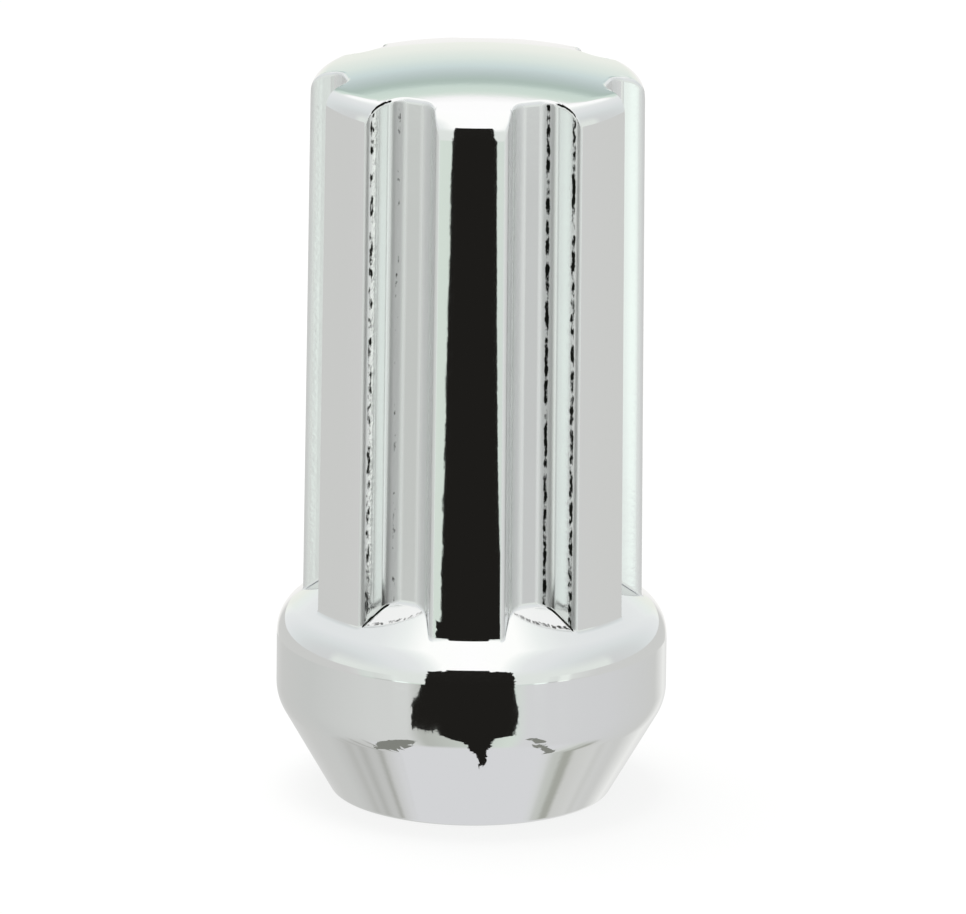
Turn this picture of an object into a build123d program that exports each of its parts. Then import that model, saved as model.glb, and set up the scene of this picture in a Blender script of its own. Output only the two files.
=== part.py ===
from build123d import *
import math
import os

# Closed-end tuner lug nut: one cold-formed steel piece that stands on its open, seat end.
# Origin in the middle of the open end's flat face, +Z up the axis to the dome, millimetres.

# Overall size
overall_height = 50.8          # 2.00 in, open face to the top of the dome
drive_foot_d = 22.86           # 0.90 in, across the lands where they leave the flange
drive_top_d = 22.38            # across the lands at the shoulder: a slight forging draft
flange_d = 26.3                # widest band, above the seat

# Conical seat that centres the nut in the wheel's hole
seat_angle = 60.0              # included angle of the cone
seat_small_d = 18.7            # across the cone at the open face
seat_rim_chamfer = 0.3         # small bevel between the cone and the open face
seat_corner_r = 3.3            # rounding from the cone into the band

# Flange that backs the seat
band_top_z = 10.9              # where the band starts to round inwards
flange_top_r = 2.65            # rounding from the band onto the sloping top
flange_slope = 38.0            # sloping top, degrees above level
slope_inner_r = 8.6            # the slope runs on below the roots of the flutes

# Splined drive: lands stand between flat-floored flutes with rounded corners
flute_count = 7
land_turn = -1.7               # degrees that the first land is turned from -Y
flute_floor_r = 9.3            # axis to the flat floor of a flute
flute_floor_w = 2.64           # floor's width, between the corners before rounding
flute_corner_r = 1.45          # rounding between the floor and the walls
flute_wall_lean = 34.5         # walls lean outwards, degrees from the floor's normal
land_edge_r = 0.45             # rounding where a wall meets a land

# Closed end
shoulder_r = 1.5               # rounding from the lands onto the dome
dome_r = 46.0                  # shallow dome

# Blind threaded bore, M14 x 1.5, drawn at the tapped hole's minor diameter
thread_major_d = 14.0
thread_pitch = 1.5
thread_minor_d = thread_major_d - 1.0825 * thread_pitch
bore_wall_depth = 40.0         # straight wall, from the open face
drill_point = 118.0            # angle of the cone that the drill leaves
mouth_d = 15.0                 # countersink at the open face
mouth_angle = 90.0

blend_crossing = 8.0           # degrees between a rounding and the face that it runs into
cutter_clearance = 1.0         # cutting forms reach this far past the metal
pick_margin = 0.05             # how near a corner or edge must lie to be picked by its place


def polar(centre, radius, degrees):
    """Point on a circle in the half-plane of the turned profile."""
    turn = math.radians(degrees)
    return centre[0] + radius * math.cos(turn), centre[1] + radius * math.sin(turn)


def turned(outline):
    """Solid turned about Z from an outline drawn with X as radius and Y as height."""
    face = Plane.XZ * make_face(outline)
    return revolve(face, Axis.Z)


def slope_start():
    """Point where the flange's rounding runs out onto its sloping top."""
    top_centre = (flange_d / 2 - flange_top_r, band_top_z)
    return polar(top_centre, flange_top_r, 90 - flange_slope)


def slope_height(radius):
    """Height of the sloping top at a distance from the axis."""
    start = slope_start()
    return start[1] + (start[0] - radius) * math.tan(math.radians(flange_slope))


def flange_and_seat():
    """Cone seat, band and sloping flange top, solid to the axis."""
    flange_radius = flange_d / 2
    half_seat = seat_angle / 2
    seat_top_z = (flange_radius - seat_small_d / 2) / math.tan(math.radians(half_seat))
    corner_run = seat_corner_r * math.tan(math.radians(half_seat / 2))
    corner_centre = (flange_radius - seat_corner_r, seat_top_z + corner_run)
    corner_start = polar(corner_centre, seat_corner_r, -half_seat)
    corner_middle = polar(corner_centre, seat_corner_r, -half_seat / 2)
    corner_end = polar(corner_centre, seat_corner_r, 0)

    top_centre = (flange_radius - flange_top_r, band_top_z)
    top_start = polar(top_centre, flange_top_r, 0)
    top_middle = polar(top_centre, flange_top_r, (90 - flange_slope) / 2)
    top_end = slope_start()
    slope_end = (slope_inner_r, slope_height(slope_inner_r))

    outline = [
        Line((0, 0), (seat_small_d / 2, 0)),
        Line((seat_small_d / 2, 0), corner_start),
        ThreePointArc(corner_start, corner_middle, corner_end),
        Line(corner_end, top_start),
        ThreePointArc(top_start, top_middle, top_end),
        Line(top_end, slope_end),
        Line(slope_end, (0, slope_end[1])),
        Line((0, slope_end[1]), (0, 0)),
    ]
    return turned(outline)


def shoulder_centre():
    """Centre of the rounding between the lands and the dome, as radius and height."""
    crossing = math.cos(math.radians(blend_crossing))
    radius = drive_top_d / 2 - shoulder_r * crossing
    reach_squared = dome_r ** 2 + shoulder_r ** 2 - 2 * dome_r * shoulder_r * crossing
    return radius, overall_height - dome_r + math.sqrt(reach_squared - radius ** 2)


def land_draft():
    """Inward run of the lands for each millimetre of height."""
    foot_z = slope_height(drive_foot_d / 2)
    return (drive_foot_d - drive_top_d) / 2 / (shoulder_centre()[1] - foot_z)


def drafted_blank():
    """Round bar that narrows slightly from the flange to the shoulder."""
    foot_z = slope_height(drive_foot_d / 2)
    low_radius = drive_foot_d / 2 + land_draft() * (foot_z - band_top_z)
    high_radius = low_radius - land_draft() * (overall_height - band_top_z)
    outline = Polyline(
        (0, band_top_z),
        (low_radius, band_top_z),
        (high_radius, overall_height),
        (0, overall_height),
        close=True,
    )
    return turned(outline)


def closed_end():
    """Everything inside the shoulder's rounding and below the dome."""
    centre = shoulder_centre()
    dome_z = overall_height - dome_r
    dome_edge_turn = math.degrees(math.atan2(centre[1] - dome_z, centre[0]))
    start = polar(centre, shoulder_r, 0)
    middle = polar(centre, shoulder_r, dome_edge_turn / 2)
    end = polar(centre, shoulder_r, dome_edge_turn)
    clear_radius = drive_foot_d / 2 + cutter_clearance
    clear_z = overall_height + cutter_clearance
    outline = [
        Line((0, 0), (clear_radius, 0)),
        Line((clear_radius, 0), (clear_radius, start[1])),
        Line((clear_radius, start[1]), start),
        ThreePointArc(start, middle, end),
        Line(end, (end[0], clear_z)),
        Line((end[0], clear_z), (0, clear_z)),
        Line((0, clear_z), (0, 0)),
    ]
    ball = Pos(0, 0, dome_z) * Rot(90, 0, 0) * Sphere(dome_r)
    return turned(outline) & ball


def flute_cutter():
    """Straight cutter for one flute: flat floor, leaning walls and rounded corners and lips."""
    lean = math.radians(flute_wall_lean)
    half_floor = flute_floor_w / 2
    lip_rise = land_edge_r * (1 - math.cos(math.radians(blend_crossing)))
    lip_radius = drive_foot_d / 2 + lip_rise
    wall_offset = flute_floor_r * math.sin(lean) - half_floor * math.cos(lean)
    lip_turn = lean - math.asin(wall_offset / lip_radius)
    lip = (lip_radius * math.cos(lip_turn), lip_radius * math.sin(lip_turn))
    lip_end = (lip[0] - math.sin(lip_turn), lip[1] + math.cos(lip_turn))
    clear_radius = drive_foot_d / 2 + cutter_clearance
    section = make_face(Polyline(
        (flute_floor_r, half_floor),
        lip,
        lip_end,
        (clear_radius, lip_end[1]),
        (clear_radius, -lip_end[1]),
        (lip_end[0], -lip_end[1]),
        (lip[0], -lip[1]),
        (flute_floor_r, -half_floor),
        close=True,
    ))
    corners = section.vertices().filter_by_position(Axis.X, 0, flute_floor_r + pick_margin)
    section = fillet(corners, flute_corner_r)
    lips = section.vertices().filter_by(lambda vertex: math.isclose(vertex.X, lip[0]))
    section = fillet(lips, land_edge_r)
    draft_lean = math.degrees(math.atan(land_draft() / math.cos(lip_turn)))
    foot_z = slope_height(drive_foot_d / 2)
    cutter = extrude(section, overall_height) + extrude(section, band_top_z - foot_z)
    return Pos(0, 0, foot_z) * Rot(0, -draft_lean, 0) * cutter


def fluted_drive():
    """Drive with evenly spaced flutes and a closed, domed end."""
    drive = drafted_blank() & closed_end()
    for flute in range(flute_count):
        turn = -90 + land_turn + (flute + 0.5) * 360 / flute_count
        drive -= Rot(0, 0, turn) * flute_cutter()
    return drive


def blind_bore():
    """Tapped hole's wall with its countersunk mouth and the drill's pointed end."""
    bore_radius = thread_minor_d / 2
    mouth_radius = mouth_d / 2
    mouth_depth = (mouth_radius - bore_radius) / math.tan(math.radians(mouth_angle / 2))
    point_height = bore_radius / math.tan(math.radians(drill_point / 2))
    outline = Polyline(
        (0, -cutter_clearance),
        (mouth_radius, -cutter_clearance),
        (mouth_radius, 0),
        (bore_radius, mouth_depth),
        (bore_radius, bore_wall_depth),
        (0, bore_wall_depth + point_height),
        close=True,
    )
    return turned(outline)


lug_nut = flange_and_seat() + fluted_drive()
rim_edges = lug_nut.edges().filter_by_position(Axis.Z, -pick_margin, pick_margin)
lug_nut = chamfer(rim_edges, seat_rim_chamfer)
lug_nut = lug_nut - blind_bore()
lug_nut.label = "lug_nut"

os.makedirs("parts", exist_ok=True)
export_step(lug_nut, "parts/lug_nut.step")
print("size", lug_nut.bounding_box().size, "volume", round(lug_nut.volume, 1))
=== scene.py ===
import math
import random
from collections import namedtuple
from functools import partial
import bpy
from mathutils import Matrix, Vector


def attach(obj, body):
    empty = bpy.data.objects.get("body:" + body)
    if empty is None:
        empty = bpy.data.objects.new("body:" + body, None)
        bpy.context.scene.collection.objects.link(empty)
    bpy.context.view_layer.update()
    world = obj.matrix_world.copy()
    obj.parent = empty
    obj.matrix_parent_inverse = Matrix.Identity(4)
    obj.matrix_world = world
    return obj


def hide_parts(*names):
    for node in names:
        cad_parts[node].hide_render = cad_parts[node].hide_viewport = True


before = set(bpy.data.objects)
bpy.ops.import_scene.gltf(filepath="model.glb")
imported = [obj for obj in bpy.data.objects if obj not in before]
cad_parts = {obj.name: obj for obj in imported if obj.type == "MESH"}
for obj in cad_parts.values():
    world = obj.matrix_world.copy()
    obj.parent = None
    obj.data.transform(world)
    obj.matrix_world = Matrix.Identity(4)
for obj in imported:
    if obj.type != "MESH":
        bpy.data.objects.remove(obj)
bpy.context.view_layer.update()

mm = 0.001   # sizes below are in millimetres, Blender works in metres


def linearColour(hexText):
    # sRGB hex to the linear colour that shaders want, by the sRGB standard's own curve
    levels = [int(hexText[start:start + 2], 16) / 255 for start in (1, 3, 5)]
    linear = [v / 12.92 if v <= 0.04045 else ((v + 0.055) / 1.055) ** 2.4 for v in levels]
    return tuple(linear) + (1.0,)


def setStops(ramp, stops):
    # position and linear colour of each stop; one stop makes a plain tone
    while len(ramp.elements) < len(stops):
        ramp.elements.new(0.5)
    while len(ramp.elements) > len(stops):
        ramp.elements.remove(ramp.elements[-1])
    for element, (position, colour) in zip(ramp.elements, stops):
        element.position = position
        element.color = colour


def addNode(tree, kind, settings=None, **links):
    # settings: the node's attributes, sockets by name or number, or the stops of its colour ramp
    # links: a socket's name with _ for a space, or in0, in1 and so on; a node gives its first output
    node = tree.nodes.new(kind)
    for name, value in (settings or {}).items():
        if name == "stops":
            setStops(node.color_ramp, value)
        elif isinstance(name, str) and hasattr(node, name):
            setattr(node, name, value)
        else:
            node.inputs[name].default_value = value
    for name, source in links.items():
        socket = int(name[2:]) if name[:2] == "in" and name[2:].isdigit() else name.replace("_", " ")
        output = source.outputs[0] if isinstance(source, bpy.types.Node) else source
        tree.links.new(output, node.inputs[socket])
    return node


def newMaterial(name):
    material = bpy.data.materials.new(name)
    material.use_nodes = True
    material.node_tree.nodes.clear()
    return material


# Chrome plate, with painted dark reflection specks along the flutes; waves, specks and depths in mm
plate = {
    "chromium": "#EFF0F0",
    # painted dark reflection: the tone of the dark lines along the flutes' corners and edges
    "paintedDarkTone": "#1E1F1C",
    "peelWave": 3.0, "peelDepth": 0.004,        # orange peel
    "grainWave": 0.35, "grainDepth": 0.001,     # tumbled grain, really about 0.1 and too fine to show
    "nubWave": 0.30, "nubDepth": 0.010,         # nubs where plate builds up along the flutes' edges
    "hazePatch": 7.0, "clear": 0.025, "hazed": 0.055,   # roughness from patch to patch
    "edgeHaze": 0.50,                           # roughness that the flutes' edges add
    "paintedSpeck": 0.34, "paintedSpeckStretch": 0.55,        # specks of painted dark reflection, longer along the nut's axis
    "paintedSpeckFrom": 1.43, "paintedSpeckTo": 1.56,         # painted dark line plus noise at which a painted speck begins and is full
}


def makeChromePlate():
    # Decorative nickel-chrome electroplate over a cold-forged and tumbled blank.
    # Gives the eye a near mirror whose reflected edges waver with a faint orange peel and grain.
    # Along the flutes' edges, where polishing can't reach, it is hazy and nubbly, and a painted broken dark
    # line stands in for the dark things that the edges mirror. The mesh carries how much of each in two
    # point attributes.
    material = newMaterial("chromePlate")
    tree = material.node_tree
    place = addNode(tree, "ShaderNodeTexCoord").outputs["Object"]
    hazy = addNode(tree, "ShaderNodeAttribute", {"attribute_name": "hazyEdge"}).outputs["Fac"]
    paintedLineAndNubMask = addNode(tree, "ShaderNodeAttribute", {"attribute_name": "grimyEdge"}).outputs["Fac"]

    stretched = addNode(tree, "ShaderNodeMapping", {"Scale": (1, 1, plate["paintedSpeckStretch"])}, Vector=place)
    noise = {}
    for name, detail, where in (("peelWave", 1.5, place), ("grainWave", 2.0, place), ("nubWave", 2.0, place),
                                ("hazePatch", 4.0, place), ("paintedSpeck", 3.0, stretched)):
        texture = {"Scale": 1 / (plate[name] * mm), "Detail": detail}
        noise[name] = addNode(tree, "ShaderNodeTexNoise", texture, Vector=where)

    # relief: peel and grain all over, nubs along the edges that carry the painted dark line
    peel = {"operation": "MULTIPLY", 1: plate["peelDepth"]}
    grain = {"operation": "MULTIPLY_ADD", 1: plate["grainDepth"]}
    nubs = {"operation": "MULTIPLY", 1: plate["nubDepth"]}
    height = addNode(tree, "ShaderNodeMath", peel, in0=noise["peelWave"])
    height = addNode(tree, "ShaderNodeMath", grain, in0=noise["grainWave"], in2=height)
    nubbly = addNode(tree, "ShaderNodeMath", nubs, in0=noise["nubWave"])
    nubsOnPaintedLine = {"operation": "MULTIPLY_ADD"}
    height = addNode(tree, "ShaderNodeMath", nubsOnPaintedLine, in0=nubbly, in1=paintedLineAndNubMask, in2=height)
    bump = addNode(tree, "ShaderNodeBump", {"Strength": 1.0, "Distance": mm}, Height=height)

    # roughness: clear and slightly hazed patches, and the hazy edges
    patches = {"To Min": plate["clear"], "To Max": plate["hazed"]}
    edges = {"operation": "MULTIPLY_ADD", 1: plate["edgeHaze"]}
    haze = addNode(tree, "ShaderNodeMapRange", patches, Value=noise["hazePatch"])
    haze = addNode(tree, "ShaderNodeMath", edges, in0=hazy, in2=haze)

    # painted dark reflection: specks where the painted line and noise together are high
    full = {"From Min": plate["paintedSpeckFrom"], "From Max": plate["paintedSpeckTo"]}
    colours = {"data_type": "RGBA", 6: linearColour(plate["chromium"]), 7: linearColour(plate["paintedDarkTone"])}
    paintedSpecks = addNode(tree, "ShaderNodeMath", {"operation": "ADD"}, in0=paintedLineAndNubMask, in1=noise["paintedSpeck"])
    paintedSpecks = addNode(tree, "ShaderNodeMapRange", full, Value=paintedSpecks)
    tint = addNode(tree, "ShaderNodeMix", colours, in0=paintedSpecks).outputs[2]

    shader = addNode(tree, "ShaderNodeBsdfPrincipled", {"Metallic": 1.0},
                     Base_Color=tint, Roughness=haze, Normal=bump)
    addNode(tree, "ShaderNodeOutputMaterial", Surface=shader)
    return material


# Steel inside the bore; sizes in mm
bareSteel = {
    "dry": "#A8A6A2", "oily": "#6F6C68",
    "oilPatch": 3.0, "oilFrom": 0.35, "oilTo": 0.7,
    "smooth": 0.28, "rough": 0.46,
    "ring": 1.13, "ringDepth": 0.008,           # tool rings, really about 0.1 and too fine to show
    "ringStrength": 0.6, "ringWander": 1.2,
    "waveRadians": 20,                          # that a wave texture of scale 1 runs in a metre
}


def makeTappedSteel():
    # Carbon steel, drilled and tapped after forging, where little plating reaches.
    # Gives the eye a duller, darker metal with rings left by the drill and tap and a trace of oil.
    material = newMaterial("tappedSteel")
    tree = material.node_tree
    place = addNode(tree, "ShaderNodeTexCoord").outputs["Object"]
    ringWave = {"bands_direction": "Z", "Detail": 2.0, "Distortion": bareSteel["ringWander"],
                "Scale": 2 * math.pi / (bareSteel["waveRadians"] * bareSteel["ring"] * mm)}
    rings = addNode(tree, "ShaderNodeTexWave", ringWave, Vector=place).outputs["Fac"]
    patches = {"Scale": 1 / (bareSteel["oilPatch"] * mm), "Detail": 5.0}
    oil = addNode(tree, "ShaderNodeTexNoise", patches, Vector=place)
    stops = [(bareSteel["oilFrom"], linearColour(bareSteel["oily"])),
             (bareSteel["oilTo"], linearColour(bareSteel["dry"]))]
    tint = addNode(tree, "ShaderNodeValToRGB", {"stops": stops}, Fac=oil)
    amounts = {"To Min": bareSteel["smooth"], "To Max": bareSteel["rough"]}
    rough = addNode(tree, "ShaderNodeMapRange", amounts, Value=oil)
    relief = {"Strength": bareSteel["ringStrength"], "Distance": bareSteel["ringDepth"] * mm}
    bump = addNode(tree, "ShaderNodeBump", relief, Height=rings)
    shader = addNode(tree, "ShaderNodeBsdfPrincipled", {"Metallic": 1.0},
                     Base_Color=tint, Roughness=rough, Normal=bump)
    addNode(tree, "ShaderNodeOutputMaterial", Surface=shader)
    return material


# The nut's outside, built column by column from the dome down to the open face; mm and degrees
nut = {
    "height": 50.8,
    "footRadius": 11.43, "topRadius": 11.19,            # over the lands, at the flange and the shoulder
    "domeRadius": 46.0, "shoulderRadius": 1.5,
    "flutes": 7, "landTurn": -1.7,                      # first land, from -Y
    "floorAt": 9.3, "halfFloor": 1.32, "floorCorner": 1.45, "wallLean": 34.5, "landEdge": 0.45,
    "flangeRadius": 13.15, "bandTop": 10.9, "flangeRound": 2.65, "slope": 38.0,
    "seatRadius": 9.35, "seatHalfAngle": 30.0, "seatRound": 3.3, "rimBevel": 0.3,
    "runOutEase": 0.32, "footEase": 0.22,               # how far the edges at a flute's ends are eased
    "floorSteps": 4, "landSteps": 9,
    "domeRows": 34, "easeRows": 5, "wallRows": 14, "slopeRows": 7, "roundRows": 14, "coneRows": 6,
    "rimRows": 3,
    "halvings": 40, "passes": 6,                        # in the two searches for where surfaces meet
}

# Haze and painted dark reflection along the flutes, 1 for much. A list has a value for each column of mesh
# on its stretch, going from the flute's floor towards the land, so its length sets how many columns there
# are.
hazeAndPaintedLine = {
    # painted dark reflection in the floor corner and on the land's edge, at each flute's left and right
    # side, from the first flute on the right of -Y
    "flutes": [((0.2, 0.1), (1.06, 1.02)), ((0.2, 0.1), (0.4, 0.3)), ((0.9, 0.7), (0.4, 0.3)),
               ((0.5, 0.6), (0.8, 0.9)), ((0.9, 0.8), (0.95, 0.9)), ((0.4, 0.3), (0.3, 0.2)),
               ((0.84, 0.96), (0.2, 0.1))],
    # painted dark reflection across the floor corner, the wall and the land's edge
    "cornerGrime": [0.0, 0.2, 0.55, 1.0, 1.0, 0.5, 0.2, 0.0, 0.0],
    "wallPaintedLine": [0.0, 0.0, 0.0, 0.0, 0.6, 1.0],
    "edgeGrime": [1.0, 0.75, 0.4, 0.1, 0.0, 0.0, 0.0, 0.0],
    "archPaintedLine": 1.3, "footPaintedLine": 2.1,                 # painted dark line where a wall runs out, and at its foot
    "edgeWallSteps": 4,                                 # over these the land's edge still counts as wall
    "floorHaze": 0.08,
    "cornerHaze": [0.4, 0.7, 1.1, 1.3, 1.3, 1.1, 0.7, 0.35, 0.2],
    "wallHaze": [0.18, 0.16, 0.12, 0.08, 0.08, 0.15],
    "edgeHaze": [0.5, 0.7, 0.9, 0.9, 0.8, 0.6, 0.3, 0.0],
}


def lerp(start, end, share):
    return start + (end - start) * share


def polar(radius, degrees):
    return radius * math.cos(math.radians(degrees)), radius * math.sin(math.radians(degrees))


slopeTan = math.tan(math.radians(nut["slope"]))
slopeNormal = (math.sin(math.radians(nut["slope"])), math.cos(math.radians(nut["slope"])))
# radius and height at which the rounding above the band runs out onto the flange's sloping top
slopeRun, slopeRise = polar(nut["flangeRound"], 90 - nut["slope"])
slopeEdge = (nut["flangeRadius"] - nut["flangeRound"] + slopeRun, nut["bandTop"] + slopeRise)


def slopeHeight(radius):
    # height of the flange's sloping top
    return slopeEdge[1] + (slopeEdge[0] - radius) * slopeTan


# where the lands leave the flange, and the centres of the dome and of the shoulder's rounding
footZ = slopeHeight(nut["footRadius"])
domeCentreZ = nut["height"] - nut["domeRadius"]
shoulderR = nut["topRadius"] - nut["shoulderRadius"]
shoulderZ = domeCentreZ + math.sqrt((nut["domeRadius"] - nut["shoulderRadius"]) ** 2 - shoulderR ** 2)
draft = (nut["footRadius"] - nut["topRadius"]) / (shoulderZ - footZ)
domeEdge = math.degrees(math.atan2(shoulderZ - domeCentreZ, shoulderR))     # normal above level where the
shoulderFoot = math.degrees(math.atan(draft))                              # shoulder begins, and at its foot

# a place on a flute's section, its normal, how much painted dark line and haze it carries, and how much it
# is wall
fluteSpot = namedtuple("fluteSpot", "x y normalX normalY cornerGrime edgeGrime wall haze")


def fluteSection():
    # half a flute at its foot, from its middle to the land: x outwards, y sideways
    lean = math.radians(nut["wallLean"])
    along = Vector((math.cos(lean), math.sin(lean)))
    into = Vector((-math.sin(lean), math.cos(lean)))          # from the wall into the metal
    corner = Vector((nut["floorAt"], nut["halfFloor"]))
    reach = nut["floorCorner"] * math.tan((math.pi / 2 - lean) / 2)
    cornerCentre = corner + Vector((nut["floorCorner"], -reach))
    # the land's edge is rounded about a point that lies landEdge inside both the wall and the land
    offset = corner + into * nut["landEdge"]
    inner = nut["footRadius"] - nut["landEdge"]
    run = math.sqrt(offset.dot(along) ** 2 - offset.length_squared + inner ** 2) - offset.dot(along)
    edgeCentre = offset + along * run
    wallStart = corner + along * reach
    wallEnd = edgeCentre - into * nut["landEdge"]

    spots = []
    for i in range(nut["floorSteps"]):
        y = lerp(0, corner.y - reach, i / nut["floorSteps"])
        spots.append(fluteSpot(nut["floorAt"], y, 1, 0, 0, 0, 0, hazeAndPaintedLine["floorHaze"]))
    steps = len(hazeAndPaintedLine["cornerHaze"])
    for i in range(steps):
        x, y = polar(1, lerp(180, 90 + nut["wallLean"], i / steps))
        spot = (cornerCentre.x + x * nut["floorCorner"], cornerCentre.y + y * nut["floorCorner"])
        spots.append(fluteSpot(*spot, -x, -y, hazeAndPaintedLine["cornerGrime"][i], 0, i / steps, hazeAndPaintedLine["cornerHaze"][i]))
    steps = len(hazeAndPaintedLine["wallHaze"])
    for i in range(steps):
        spot = wallStart.lerp(wallEnd, i / steps)
        spots.append(fluteSpot(*spot, -into.x, -into.y, 0, hazeAndPaintedLine["wallPaintedLine"][i], 1, hazeAndPaintedLine["wallHaze"][i]))
    steps = len(hazeAndPaintedLine["edgeHaze"]) - 1
    edgeTurn = math.degrees(math.atan2(edgeCentre.y, edgeCentre.x))
    for i in range(steps + 1):
        x, y = polar(1, lerp(nut["wallLean"] - 90, edgeTurn, i / steps))
        spot = (edgeCentre.x + x * nut["landEdge"], edgeCentre.y + y * nut["landEdge"])
        wall = max(0, 1 - i / hazeAndPaintedLine["edgeWallSteps"])
        spots.append(fluteSpot(*spot, x, y, 0, hazeAndPaintedLine["edgeGrime"][i], wall, hazeAndPaintedLine["edgeHaze"][i]))
    return spots


fluteSpots = fluteSection()
landCorner = fluteSpots[-1]
landShares = [(i + 1) / nut["landSteps"] for i in range(nut["landSteps"])]   # of the way to a land's middle
halfPitch = math.pi / nut["flutes"]
fluteLean = draft / math.cos(math.atan2(landCorner.y, landCorner.x))      # flutes lean in with the lands


def onFlute(spot, side, z):
    # point and normal at height z, in the flute's own axes; side is 1 or -1
    rise = z - footZ
    point = Vector((spot.x - fluteLean * rise, side * spot.y, z))
    return point, Vector((spot.normalX, side * spot.normalY, fluteLean * spot.normalX)).normalized()


def onLand(share, side, z):
    # the same on a land, a share of the way from the flute's edge to the land's middle
    rise = z - footZ
    edge = math.atan2(landCorner.y, landCorner.x - fluteLean * rise)
    turn = side * lerp(edge, halfPitch, share)
    radius = nut["footRadius"] - draft * rise
    point = Vector((radius * math.cos(turn), radius * math.sin(turn), z))
    return point, Vector((math.cos(turn), math.sin(turn), draft)).normalized()


def onEnd(reach):
    # radius, height and normal on the closed end: reach is 0 to 1 over the dome, 1 to 2 over the shoulder
    if reach <= 1:
        x, y = polar(1, lerp(90, domeEdge, reach))
        return x * nut["domeRadius"], domeCentreZ + y * nut["domeRadius"], (x, y)
    x, y = polar(1, lerp(domeEdge, shoulderFoot, reach - 1))
    return shoulderR + x * nut["shoulderRadius"], shoulderZ + y * nut["shoulderRadius"], (x, y)


def runOut(columnAt):
    # reach over the closed end at which a flute's column cuts in, found by halving
    low = 0.0
    high = 2.0
    for _ in range(nut["halvings"]):
        middle = (low + high) / 2
        radius, z, _ = onEnd(middle)
        if radius < columnAt(z)[0].xy.length:
            low = middle
        else:
            high = middle
    return high


def outwards(aim, radius, z, normal):
    # point and normal on a turned surface, in the direction aim from the axis
    point = Vector((aim.x * radius, aim.y * radius, z))
    return point, Vector((aim.x * normal[0], aim.y * normal[0], normal[1]))


def eased(start, corner, end, rows):
    # a soft bend from start to end round a corner, ends left out; start and end have normals too
    bend = []
    for i in range(1, rows + 1):
        share = i / (rows + 1)
        spot = start[0].lerp(corner, share).lerp(corner.lerp(end[0], share), share)
        bend.append((spot, start[1].lerp(end[1], share).normalized()))
    return bend


def driveRows(columnAt, reach):
    # down one column from the dome to the start of the flange's sloping top
    domeArc = nut["domeRadius"] * math.radians(90 - domeEdge)
    shoulderArc = nut["shoulderRadius"] * math.radians(domeEdge - shoulderFoot)
    last = reach - nut["runOutEase"] / (domeArc if reach <= 1 else shoulderArc)
    top = onEnd(reach)[1]
    corner = columnAt(top)[0]
    aim = corner.xy.normalized()
    rows = [outwards(aim, *onEnd(last * (i + 1) / nut["domeRows"])) for i in range(nut["domeRows"])]
    rows += eased(rows[-1], corner, columnAt(top - nut["runOutEase"]), nut["easeRows"])

    # height at which the column meets the sloping top, closer with each pass
    foot = footZ
    for _ in range(nut["passes"]):
        foot = slopeHeight(columnAt(foot)[0].xy.length)
    for i in range(nut["wallRows"] + 1):
        rows.append(columnAt(lerp(top - nut["runOutEase"], foot + nut["footEase"], i / nut["wallRows"])))
    corner = columnAt(foot)[0]
    aim = corner.xy.normalized()
    slopeRadius = corner.xy.length + nut["footEase"] * slopeNormal[1]
    slopeStart = outwards(aim, slopeRadius, slopeHeight(slopeRadius), slopeNormal)
    return rows + eased(rows[-1], corner, slopeStart, nut["easeRows"]), aim, slopeRadius


def flangeRows(aim, slopeRadius):
    # on down over the flange's sloping top, its band, the cone, the rim and the flat open face
    rows = []
    for i in range(nut["slopeRows"]):
        radius = lerp(slopeRadius, slopeEdge[0], i / nut["slopeRows"])
        rows.append(outwards(aim, radius, slopeHeight(radius), slopeNormal))
    for i in range(nut["roundRows"] + 1):
        x, y = polar(1, lerp(90 - nut["slope"], 0, i / nut["roundRows"]))
        radius = nut["flangeRadius"] - nut["flangeRound"] * (1 - x)
        rows.append(outwards(aim, radius, nut["bandTop"] + nut["flangeRound"] * y, (x, y)))

    half = math.radians(nut["seatHalfAngle"])
    coneHeight = (nut["flangeRadius"] - nut["seatRadius"]) / math.tan(half)
    bandFoot = coneHeight + nut["seatRound"] * math.tan(half / 2)
    for i in range(nut["roundRows"] + 1):
        x, y = polar(1, lerp(0, -nut["seatHalfAngle"], i / nut["roundRows"]))
        radius = nut["flangeRadius"] - nut["seatRound"] * (1 - x)
        rows.append(outwards(aim, radius, bandFoot + nut["seatRound"] * y, (x, y)))
    coneTop = (nut["flangeRadius"] - nut["seatRound"] * (1 - math.cos(half)),
               bandFoot - nut["seatRound"] * math.sin(half))
    coneFoot = (nut["seatRadius"] + nut["rimBevel"] * math.sin(half), nut["rimBevel"] * math.cos(half))
    coneNormal = (math.cos(half), -math.sin(half))
    for i in range(1, nut["coneRows"] + 1):
        share = i / nut["coneRows"]
        radius = lerp(coneTop[0], coneFoot[0], share)
        rows.append(outwards(aim, radius, lerp(coneTop[1], coneFoot[1], share), coneNormal))

    down = (0, -1)
    rim = outwards(aim, nut["seatRadius"], 0, down)[0]
    faceStart = outwards(aim, nut["seatRadius"] - nut["rimBevel"], 0, down)
    rows += eased(rows[-1], rim, faceStart, nut["rimRows"])
    return rows + [faceStart, outwards(aim, bore["faceRing"], 0, down)]


def hazeAndPaintedLineRows(upright, arch, foot, rowCount):
    # haze, or the painted dark line, down one column of a flute: on its upright stretch, and at the bends at
    # its ends
    amounts = [0.0] * rowCount
    bendRows = nut["easeRows"]
    wallStart = nut["domeRows"] + bendRows
    wallEnd = wallStart + nut["wallRows"] + 1
    for i in range(bendRows):
        bend = math.sin(math.pi * (i + 1) / (bendRows + 1))
        amounts[nut["domeRows"] + i] = max(upright * i / bendRows, arch * bend)
        amounts[wallEnd + i] = max(upright * (1 - i / bendRows), foot * bend)
    amounts[wallStart:wallEnd] = [upright] * (wallEnd - wallStart)
    return amounts


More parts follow.
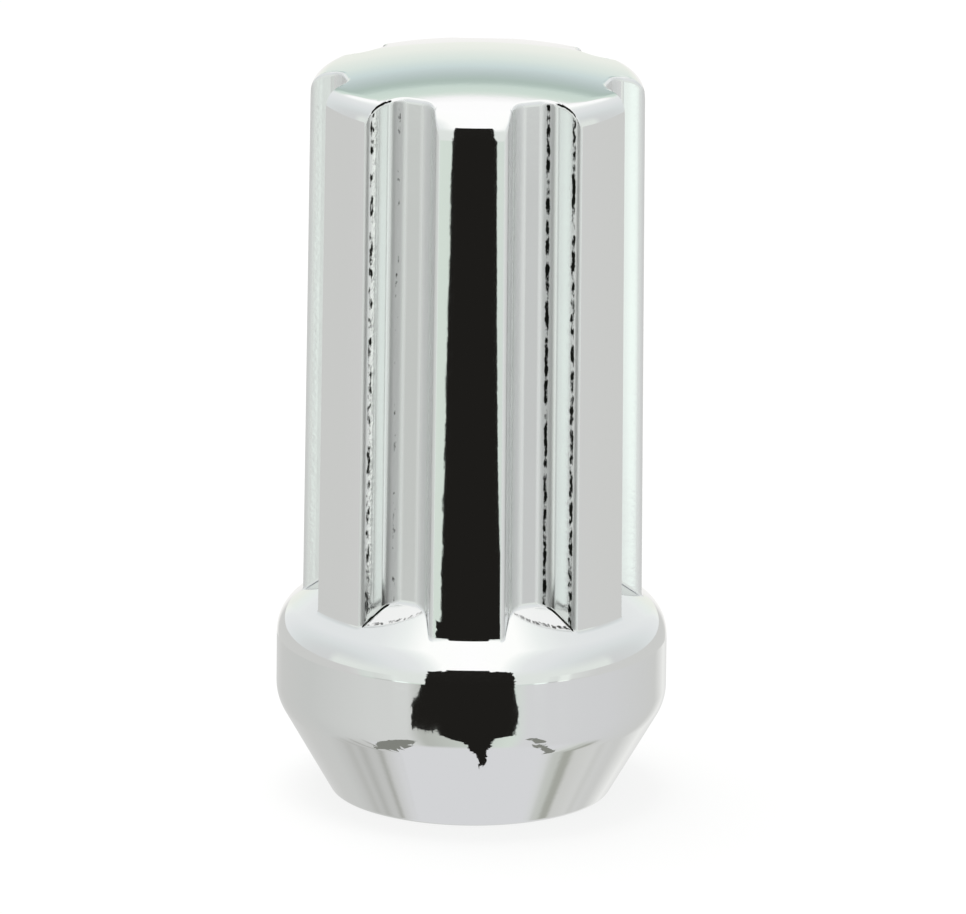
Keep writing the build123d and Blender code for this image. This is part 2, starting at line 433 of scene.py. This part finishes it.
# The bore: countersink, M14 x 1.5 right-hand thread and drill point; mm and degrees
bore = {
    "minorRadius": 6.188, "majorRadius": 7.0, "pitch": 1.5,
    "crestEnd": 0.125, "rootStart": 0.4375,     # of the pitch, from the middle of a crest
    "threadEnd": 35.5, "runOut": 2.0, "pointAngle": 118.0, "wallEnd": 40.0,
    "mouthRadius": 7.5, "mouthEase": 0.1,
    "faceRing": 8.2, "faceMargin": 0.3,         # where the outside's mesh ends, and the bore's begins
    "columns": 96, "rowsPerPitch": 10,
    "mouthRows": [0.05, 0.12], "threadFrom": 0.2, "wallRows": [36.0, 39.2, 39.9, 40.0],    # heights
    "pointRows": [0.02, 0.3, 0.65, 0.95],       # shares of the drill point
    "platedStrips": 2,                          # strips of mesh from the open face inwards
}

pointHeight = bore["minorRadius"] / math.tan(math.radians(bore["pointAngle"] / 2))


def boreRadius(turn, z):
    # metal starts where both the thread's groove and the countersink have ended
    phase = (z / bore["pitch"] - turn / (2 * math.pi)) % 1.0
    fromCrest = 0.5 - abs(phase - 0.5)
    flank = min(1.0, max(0.0, (fromCrest - bore["crestEnd"]) / (bore["rootStart"] - bore["crestEnd"])))
    smooth = flank * flank * (3 - 2 * flank)      # no corner at the crest or the root
    groove = smooth * (bore["majorRadius"] - bore["minorRadius"])
    fade = min(1.0, max(0.0, (bore["threadEnd"] - z) / bore["runOut"]))
    return max(bore["minorRadius"] + groove * fade, bore["mouthRadius"] - z)


def boreRings(turns):
    # radius and height round each ring, from the open face up to the drill point
    margin = (bore["mouthRadius"] + bore["faceMargin"], 0.0)
    mouth = (bore["mouthRadius"] + bore["mouthEase"] / 2, 0.0)
    rings = [[margin] * len(turns), [mouth] * len(turns)]
    step = bore["pitch"] / bore["rowsPerPitch"]
    threadRows = int((bore["threadEnd"] - bore["threadFrom"]) / step) + 1
    thread = [bore["threadFrom"] + step * i for i in range(threadRows)]
    for z in bore["mouthRows"] + thread + bore["wallRows"]:
        rings.append([(boreRadius(turn, z), z) for turn in turns])
    for share in bore["pointRows"]:
        cone = (bore["minorRadius"] * (1 - share), bore["wallEnd"] + pointHeight * share)
        rings.append([cone] * len(turns))
    return rings


def addOutside(shape):
    # columns round the nut from the dome's tip, which is point 0; gives back each one's last point
    stations = fluteSpots + landShares
    around = [(station, -1) for station in reversed(stations)]
    around += [(station, 1) for station in stations[1:-1]]
    shape["points"].append(Vector((0, 0, nut["height"])))
    shape["normals"].append(Vector((0, 0, 1)))
    for name in ("hazyEdge", "grimyEdge"):
        shape[name].append(0.0)
    for flute in range(nut["flutes"]):
        turn = math.radians(-90 + nut["landTurn"] + (flute + 0.5) * 360 / nut["flutes"])
        spin = Matrix.Rotation(turn, 3, "Z")
        for station, side in around:
            inFlute = isinstance(station, fluteSpot)
            columnAt = partial(onFlute if inFlute else onLand, station, side)
            rows, aim, slopeRadius = driveRows(columnAt, runOut(columnAt) if inFlute else 2.0)
            rows += flangeRows(aim, slopeRadius)
            shape["points"] += [spin @ spot for spot, _ in rows]
            shape["normals"] += [spin @ normal for _, normal in rows]
            if inFlute:
                # painted dark reflection in this side's floor corner and along its land's edge, set for each
                # flute side
                inCorner, onEdge = hazeAndPaintedLine["flutes"][flute][0 if side < 0 else 1]
                paintedShare = inCorner * station.cornerGrime + onEdge * station.edgeGrime
                archPaintedLine = onEdge * station.wall * hazeAndPaintedLine["archPaintedLine"]
                footPaintedLine = onEdge * station.wall * hazeAndPaintedLine["footPaintedLine"]
                shape["hazyEdge"] += hazeAndPaintedLineRows(station.haze, 0, 0, len(rows))
                shape["grimyEdge"] += hazeAndPaintedLineRows(paintedShare, archPaintedLine, footPaintedLine, len(rows))
            else:
                shape["hazyEdge"] += [0.0] * len(rows)
                shape["grimyEdge"] += [0.0] * len(rows)

    columns = nut["flutes"] * len(around)
    rowCount = (len(shape["points"]) - 1) // columns
    for column in range(columns):
        here = 1 + column * rowCount
        beside = 1 + (column + 1) % columns * rowCount
        shape["faces"].append((0, here, beside))
        for row in range(rowCount - 1):
            shape["faces"].append((here + row, here + row + 1, beside + row + 1, beside + row))
    print("nut outside:", columns, "columns,", rowCount, "rows")
    return [rowCount * (column + 1) for column in range(columns)]


def addBore(shape, faceRing):
    # rings with their own columns, joined to the outside on the open face; gives back the first steel face
    points = shape["points"]
    faces = shape["faces"]
    count = bore["columns"]
    turns = [2 * math.pi * i / count for i in range(count)]
    rings = boreRings(turns)
    start = len(points)
    for ring in rings:
        for turn, (radius, z) in zip(turns, ring):
            points.append(Vector((radius * math.cos(turn), radius * math.sin(turn), z)))
    tip = len(points)
    points.append(Vector((0, 0, bore["wallEnd"] + pointHeight)))
    shape["normals"] += [Vector((0, 0, -1))] * count

    nearest = []
    for index in faceRing:
        turn = math.atan2(points[index].y, points[index].x)
        nearest.append(start + round(turn / (2 * math.pi) * count) % count)
    for column, here in enumerate(faceRing):
        following = (column + 1) % len(faceRing)
        beside = faceRing[following]
        inner = nearest[column]
        innerBeside = nearest[following]
        faces.append((here, inner, beside) if inner == innerBeside else (here, inner, innerBeside, beside))
    firstSteel = len(faces) + bore["platedStrips"] * count
    for ring in range(len(rings) - 1):
        for column in range(count):
            here = start + ring * count + column
            beside = start + ring * count + (column + 1) % count
            faces.append((here, here + count, beside + count, beside))
    for column in range(count):
        faces.append((tip - count + column, tip, tip - count + (column + 1) % count))
    return firstSteel


def makeNut(chrome, steel):
    shape = {"points": [], "normals": [], "faces": [], "hazyEdge": [], "grimyEdge": []}
    firstSteel = addBore(shape, addOutside(shape))
    mesh = bpy.data.meshes.new("lugNut")
    mesh.from_pydata([point * mm for point in shape["points"]], [], shape["faces"])
    mesh.validate()
    # hazyEdge is roughness; the other attribute carries the painted dark line and its nubs
    for name in ("hazyEdge", "grimyEdge"):
        layer = mesh.attributes.new(name, "FLOAT", "POINT")
        clean = len(shape["points"]) - len(shape[name])      # the bore's points
        layer.data.foreach_set("value", shape[name] + [0.0] * clean)
    mesh.materials.append(chrome)
    mesh.materials.append(steel)
    for polygon in mesh.polygons:
        polygon.use_smooth = True
        polygon.material_index = 1 if polygon.index >= firstSteel else 0
    # exact normals outside, so that mirror images run clean; the bore keeps the mesh's own
    normals = [vertex.normal.copy() for vertex in mesh.vertices]
    normals[:len(shape["normals"])] = shape["normals"]
    mesh.normals_split_custom_set_from_vertices(normals)
    piece = bpy.data.objects.new("lugNut", mesh)
    bpy.context.scene.collection.objects.link(piece)
    print("nut mesh:", sum(len(polygon.vertices) - 2 for polygon in mesh.polygons), "triangles")
    return piece


chromePlate = makeChromePlate()
tappedSteel = makeTappedSteel()
print("materials: chrome plate and tapped steel")
lugNut = makeNut(chromePlate, tappedSteel)
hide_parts("lug_nut")
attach(lugNut, "root")


def seenAs(hexText):
    # light that the plate has to mirror to look like this colour
    plateColour = linearColour(plate["chromium"])
    return tuple(c / p for c, p in zip(linearColour(hexText)[:3], plateColour)) + (1.0,)


# White paper that the nut stands on
paleFloor = {
    "size": 6.0,                    # m
    "paper": "#F4F4F2",
    "glow": 0.99, "glowShare": 0.80,    # the camera sees mostly even white, and the shadow in the rest
}


def makeFloor():
    material = newMaterial("paleFloor")
    tree = material.node_tree
    light = addNode(tree, "ShaderNodeLightPath")
    paper = addNode(tree, "ShaderNodeBsdfDiffuse", {"Color": linearColour(paleFloor["paper"])})
    glow = addNode(tree, "ShaderNodeEmission", {"Color": (1, 1, 1, 1), "Strength": paleFloor["glow"]})
    bright = addNode(tree, "ShaderNodeMixShader", {"Fac": paleFloor["glowShare"]}, in1=paper, in2=glow)
    seen = addNode(tree, "ShaderNodeMixShader", Fac=light.outputs["Is Camera Ray"], in1=paper, in2=bright)
    # from below the paper isn't there, so the open end can be looked at
    backside = addNode(tree, "ShaderNodeNewGeometry").outputs["Backfacing"]
    clear = addNode(tree, "ShaderNodeBsdfTransparent")
    sides = addNode(tree, "ShaderNodeMixShader", Fac=backside, in1=seen, in2=clear)
    addNode(tree, "ShaderNodeOutputMaterial", Surface=sides)
    half = paleFloor["size"] / 2
    mesh = bpy.data.meshes.new("paleFloor")
    corners = [(-half, -half, 0), (half, -half, 0), (half, half, 0), (-half, half, 0)]
    mesh.from_pydata(corners, [], [(0, 1, 2, 3)])
    mesh.materials.append(material)
    floor = bpy.data.objects.new("paleFloor", mesh)
    bpy.context.scene.collection.objects.link(floor)
    floor.visible_glossy = False     # the tent stands in for it in the plate


# Cards in the studio, of which only the mirror image in the plate is seen. Corners are mm sideways and
# forward from the nut's axis, unless a line says otherwise.
cards = {
    "black": "#1D1C1A", "grey": "#7F817B",
    # black paper on the floor before the nut
    "paper": [(16.0, 36.2), (17.2, 40.8), (17.4, 43.0), (18.5, 58.1), (24.7, 91.5), (32.2, 162.0),
              (41.0, 200.0), (108.0, 530.0), (-152.0, 530.0), (-58.0, 197.0), (-50.5, 156.0), (-31.0, 88.5),
              (-20.2, 57.6), (-21.8, 46.5), (-20.9, 43.0), (-21.8, 40.0), (-21.6, 37.0), (-18.2, 33.2),
              (-15.2, 34.4), (-9.2, 36.7), (-5.6, 29.4), (-1.5, 24.3), (-0.4, 20.5), (-0.1, 17.7),
              (0.6, 15.6), (0.9, 13.3), (1.5, 13.4), (1.9, 15.6), (2.1, 17.6), (3.2, 20.2), (3.9, 24.1),
              (6.6, 30.0), (12.0, 33.6), (14.0, 35.2)],
    "paperHeight": 0.2,
    # black cloth that hangs behind the paper: degrees sideways and above level, and mm away
    "cloth": [(-15.8, -5), (-15.8, 30.5), (11.5, 30.5), (11.5, -5)],
    "clothAway": 3000,
    # black tab close before the flange, too low for the drive to mirror: mm sideways and up
    "tab": [(-4.5, 9.4), (-4.8, 11.2), (-4.5, 12.6), (-4.6, 13.4), (-2.0, 13.5), (0.5, 13.4), (2.4, 13.5),
            (4.4, 13.4), (4.2, 12.4), (4.5, 11.0), (4.3, 9.4)],
    "tabForward": 16.0,
    # scraps of grey paper beside the black one
    "scraps": [[(-10.5, 21.0), (-8.6, 17.2), (-8.2, 13.2), (-9.6, 11.2), (-11.0, 12.8), (-12.0, 16.2)],
               [(12.3, 24.5), (11.0, 20.5), (10.2, 18.6), (11.0, 18.2), (12.2, 20.6), (13.0, 24.0)],
               [(9.6, 17.4), (8.2, 14.0), (8.0, 12.2), (8.9, 12.6), (9.4, 14.4), (10.4, 17.0)]],
    "scrapHeight": 0.1,
    # torn edges: length and depth of a tear, as shares of its distance from the nut's axis
    "tearStep": 0.012, "tearDepth": 0.014, "scrapTearDepth": 0.05, "tearSeed": 4,
}


def torn(outline, depth):
    # a ragged outline; what lies further off is mirrored smaller, so it is torn more coarsely
    shaky = random.Random(cards["tearSeed"])
    ragged = []
    for (x, y), (endX, endY) in zip(outline, outline[1:] + outline[:1]):
        pieces = max(1, round(math.dist((x, y), (endX, endY)) / (cards["tearStep"] * math.hypot(x, y))))
        for i in range(pieces):
            spotX = lerp(x, endX, i / pieces)
            spotY = lerp(y, endY, i / pieces)
            tear = depth * math.hypot(spotX, spotY)
            ragged.append((spotX + shaky.uniform(-tear, tear), spotY + shaky.uniform(-tear, tear)))
    return ragged


def lying(outline, height):
    return [(x, -y, height) for x, y in outline]


def hanging(outline, away):
    corners = []
    for azimuth, elevation in outline:
        level, rise = polar(away, elevation)
        forward, sideways = polar(level, azimuth)
        corners.append((sideways, -forward, rise))
    return corners


def makeCards(name, tone, outlines):
    material = newMaterial(name)
    matt = addNode(material.node_tree, "ShaderNodeEmission", {"Color": seenAs(tone)})
    addNode(material.node_tree, "ShaderNodeOutputMaterial", Surface=matt)
    points = []
    faces = []
    for outline in outlines:
        faces.append(tuple(range(len(points), len(points) + len(outline))))
        points += [tuple(c * mm for c in corner) for corner in outline]
    mesh = bpy.data.meshes.new(name)
    mesh.from_pydata(points, [], faces)
    mesh.materials.append(material)
    card = bpy.data.objects.new(name, mesh)
    bpy.context.scene.collection.objects.link(card)
    for ray in ("camera", "diffuse", "shadow", "transmission", "volume_scatter"):
        setattr(card, "visible_" + ray, False)


# The tent round the nut, as layers that each cover the ones before. A layer's tones, as the plate
# shows them, run along one direction. It covers where all its fades have passed from their first
# value to their second. "turn" is in degrees to the right of the viewer's side; "up", "back" and
# "width" are the shares of a direction that go up, away from the viewer and to either side.
tent = {
    "aboveLevel": [
        # overhead and to the sides: the shoulder and the flange's top mirror this
        {"along": "width", "fades": [],
         "tones": [(0.0, "#FEFEFE"), (0.26, "#FDFEFC"), (0.37, "#EBEFED"), (0.47, "#E2E5E5"),
                   (0.62, "#DEE1E2"), (0.8, "#D6DBDB"), (0.9, "#D0D4D4"), (1.0, "#CDCFCF")]},
        # the viewer's side
        {"along": "up", "fades": [("back", 0.05, -0.05), ("up", 0.45, 0.15)], "tones": [(0.0, "#DCE1DD")]},
        # behind the nut: the dome mirrors this
        {"along": "up", "fades": [("back", -0.05, 0.05), ("up", 0.75, 0.62), ("width", 0.45, 0.32)],
         "tones": [(0.0, "#E6E9E2"), (0.12, "#E3E7E0"), (0.25, "#D6E0DA"), (0.33, "#C7D5D4"),
                   (0.371, "#BCC9C8"), (0.411, "#B1BFBC"), (0.445, "#AABAB3"), (0.465, "#B0C0B9"),
                   (0.489, "#C6D5CD"), (0.527, "#CCDAD1"), (0.545, "#DAE2DC"), (0.564, "#F2F2F2"),
                   (0.59, "#FCFCFC"), (1.0, "#FFFFFF")]},
    ],
    "belowLevel": [
        # pale walls with a few bright panels: the drive mirrors this
        {"along": "turn", "fades": [],
         "tones": [(-180, "#EAEAE8"), (-168, "#EAEAE8"), (-160, "#C7C8C6"), (-100, "#C8C9C7"),
                   (-75, "#CACAC9"), (-70, "#CBCBCA"), (-67, "#C8CFCA"), (-60, "#C8CFCA"),
                   (-57.5, "#BFC2BF"), (-48, "#BFC2BF"), (-45.5, "#F4FFF9"), (-38.5, "#F4FFF9"),
                   (-36, "#D0DBD2"), (11, "#D0DBD2"), (26, "#CCD4D0"), (36.5, "#CCD4D0"),
                   (38.5, "#F4FFF9"), (44.5, "#F4FFF9"), (46, "#BFC1C0"), (51.5, "#BFC1C0"),
                   (53.5, "#F0F6F0"), (58.5, "#F0F6F0"), (61, "#CBCCCB"), (100, "#CACBC9"),
                   (160, "#C7C8C6"), (168, "#EAEAE8"), (180, "#EAEAE8")]},
        # lower down: the flange's band mirrors this
        {"along": "turn", "fades": [("up", -0.276, -0.281)],
         "tones": [(-180, "#CDCECD"), (-150, "#C3C4C2"), (-110, "#C2C4C2"), (-60, "#CDCFCD"),
                   (-38, "#CDCFCD"), (-29, "#B2B5B0"), (-26, "#B2B5B0"), (25, "#CFD8D0"), (34, "#D0D1D2"),
                   (90, "#CCCDCE"), (140, "#C6C7C5"), (158, "#E4E5E3"), (180, "#CDCECD")]},
        # lower still, with darker posts at the sides: the cone mirrors this
        {"along": "turn", "fades": [("up", -0.68, -0.76)],
         "tones": [(-180, "#C8CBC8"), (-150, "#C2C4C1"), (-125, "#BBBCBA"), (-120, "#B3B4B1"),
                   (-116, "#BBBCBA"), (-111, "#AEAFAC"), (-106, "#BCBDBB"), (-102, "#BCBDBB"),
                   (-98.5, "#A5A6A2"), (-95, "#C0C1BF"), (-85.5, "#C4C5C3"), (-82.5, "#A3A49F"),
                   (-79.5, "#CFD0D1"), (-60, "#D2D3D5"), (70, "#D2D3D5"), (88, "#CCCFCB"), (93, "#BABDB7"),
                   (98, "#BDC0BB"), (101.5, "#A2A49D"), (105.5, "#A2A49D"), (109, "#C6C7C4"),
                   (122, "#CCCDCB"), (127, "#C2C3C0"), (132, "#CECFCD"), (150, "#D4D5D6"),
                   (180, "#C8CBC8")]},
        # straight below: the cone's front mirrors this
        {"along": "up", "fades": [("up", -0.88, -0.92)], "tones": [(0.0, "#D2D3D5")]},
        # the viewer's side, just below level
        {"along": "up", "fades": [("back", -0.2, -0.75), ("up", -0.236, -0.226)],
         "tones": [(0.0, "#DCE1DD")]},
    ],
    "levelFade": 0.002,
}


def makeTent():
    world = bpy.data.worlds.new("studioTent")
    bpy.context.scene.world = world
    world.use_nodes = True
    tree = world.node_tree
    tree.nodes.clear()
    place = addNode(tree, "ShaderNodeTexCoord")
    axes = addNode(tree, "ShaderNodeSeparateXYZ", in0=place.outputs["Generated"])
    front = addNode(tree, "ShaderNodeMath", {"operation": "MULTIPLY", 1: -1.0}, in0=axes.outputs["Y"])
    turn = addNode(tree, "ShaderNodeMath", {"operation": "ARCTAN2"}, in0=axes.outputs["X"], in1=front)
    directions = {
        "turn": addNode(tree, "ShaderNodeMapRange", {"From Min": -math.pi, "From Max": math.pi}, Value=turn),
        "up": axes.outputs["Z"],
        "back": axes.outputs["Y"],
        "width": addNode(tree, "ShaderNodeMath", {"operation": "ABSOLUTE"}, in0=axes.outputs["X"]),
    }

    mixing = {"data_type": "RGBA"}
    halves = []
    for half in ("aboveLevel", "belowLevel"):
        tones = None
        for layer in tent[half]:
            low, high = (-180, 180) if layer["along"] == "turn" else (0, 1)
            stops = [((stop - low) / (high - low), seenAs(tone)) for stop, tone in layer["tones"]]
            cloth = addNode(tree, "ShaderNodeValToRGB", {"stops": stops}, Fac=directions[layer["along"]])
            cover = None
            for direction, start, end in layer["fades"]:
                span = {"From Min": start, "From Max": end}
                fade = addNode(tree, "ShaderNodeMapRange", span, Value=directions[direction])
                if cover:
                    fade = addNode(tree, "ShaderNodeMath", {"operation": "MULTIPLY"}, in0=cover, in1=fade)
                cover = fade
            if cover:
                cloth = addNode(tree, "ShaderNodeMix", mixing, in0=cover, in6=tones, in7=cloth).outputs[2]
            tones = cloth
        halves.append(tones)
    span = {"From Min": tent["levelFade"], "From Max": -tent["levelFade"]}
    level = addNode(tree, "ShaderNodeMapRange", span, Value=directions["up"])
    tones = addNode(tree, "ShaderNodeMix", mixing, in0=level, in6=halves[0], in7=halves[1]).outputs[2]

    # seen directly it is plain white
    light = addNode(tree, "ShaderNodeLightPath")
    around = addNode(tree, "ShaderNodeBackground", Color=tones)
    white = addNode(tree, "ShaderNodeBackground", {"Color": (1, 1, 1, 1)})
    seen = addNode(tree, "ShaderNodeMixShader", Fac=light.outputs["Is Camera Ray"], in1=around, in2=white)
    addNode(tree, "ShaderNodeOutputWorld", Surface=seen)


# Soft lamp for the shadow; m and W
softOverhead = {"across": 0.5, "power": 3.0, "place": (-0.12, 0.1, 0.8), "aim": (0, 0, 0.02)}


def makeLamp():
    lamp = bpy.data.lights.new("softOverhead", "AREA")
    lamp.shape = "DISK"
    lamp.size = softOverhead["across"]
    lamp.energy = softOverhead["power"]
    holder = bpy.data.objects.new("softOverhead", lamp)
    bpy.context.scene.collection.objects.link(holder)
    holder.location = softOverhead["place"]
    holder.visible_glossy = False       # the tent is all that the plate mirrors overhead
    aim = Vector(softOverhead["aim"]) - holder.location
    holder.rotation_euler = aim.to_track_quat("-Z", "Y").to_euler()


# The photograph's view; mm, degrees and pixels
camera = {
    "aim": (0, 0, 25.29), "aimPixel": (474.0, 425.8),
    "distance": 1000.0, "elevation": 15.7, "roll": 0.63,
    "pixelsPerMm": 14.88,        # at the aim
    "frame": (966, 914),
    "sensor": 36.0,
    "clip": 20.0,                # m
}


def makeCamera():
    data = bpy.data.cameras.new("camera")
    width, height = camera["frame"]
    data.sensor_width = camera["sensor"]
    data.lens = camera["sensor"] * camera["pixelsPerMm"] * camera["distance"] / width
    data.shift_x = (width / 2 - camera["aimPixel"][0]) / width
    data.shift_y = (camera["aimPixel"][1] - height / 2) / width
    data.clip_end = camera["clip"]
    holder = bpy.data.objects.new("camera", data)
    bpy.context.scene.collection.objects.link(holder)
    rise = math.radians(camera["elevation"])
    aim = Vector(camera["aim"]) * mm
    holder.location = aim + Vector((0, -math.cos(rise), math.sin(rise))) * camera["distance"] * mm
    look = (aim - holder.location).to_track_quat("-Z", "Y").to_matrix()
    holder.rotation_euler = (look @ Matrix.Rotation(math.radians(camera["roll"]), 3, "Z")).to_euler()
    bpy.context.scene.camera = holder


makeFloor()
print("floor is in place")

paper = lying(torn(cards["paper"], cards["tearDepth"]), cards["paperHeight"])
cloth = hanging(cards["cloth"], cards["clothAway"])
tab = [(x, -cards["tabForward"], z) for x, z in torn(cards["tab"], cards["tearDepth"])]
scraps = [lying(torn(outline, cards["scrapTearDepth"]), cards["scrapHeight"]) for outline in cards["scraps"]]
makeCards("blackPaper", cards["black"], [paper])
makeCards("blackCloth", cards["black"], [cloth])
makeCards("blackTab", cards["black"], [tab])
makeCards("greyScraps", cards["grey"], scraps)
print("cards are in place")

makeTent()
makeLamp()
makeCamera()
bpy.context.scene.view_settings.view_transform = "Standard"
print("tent, lamp and camera are in place")
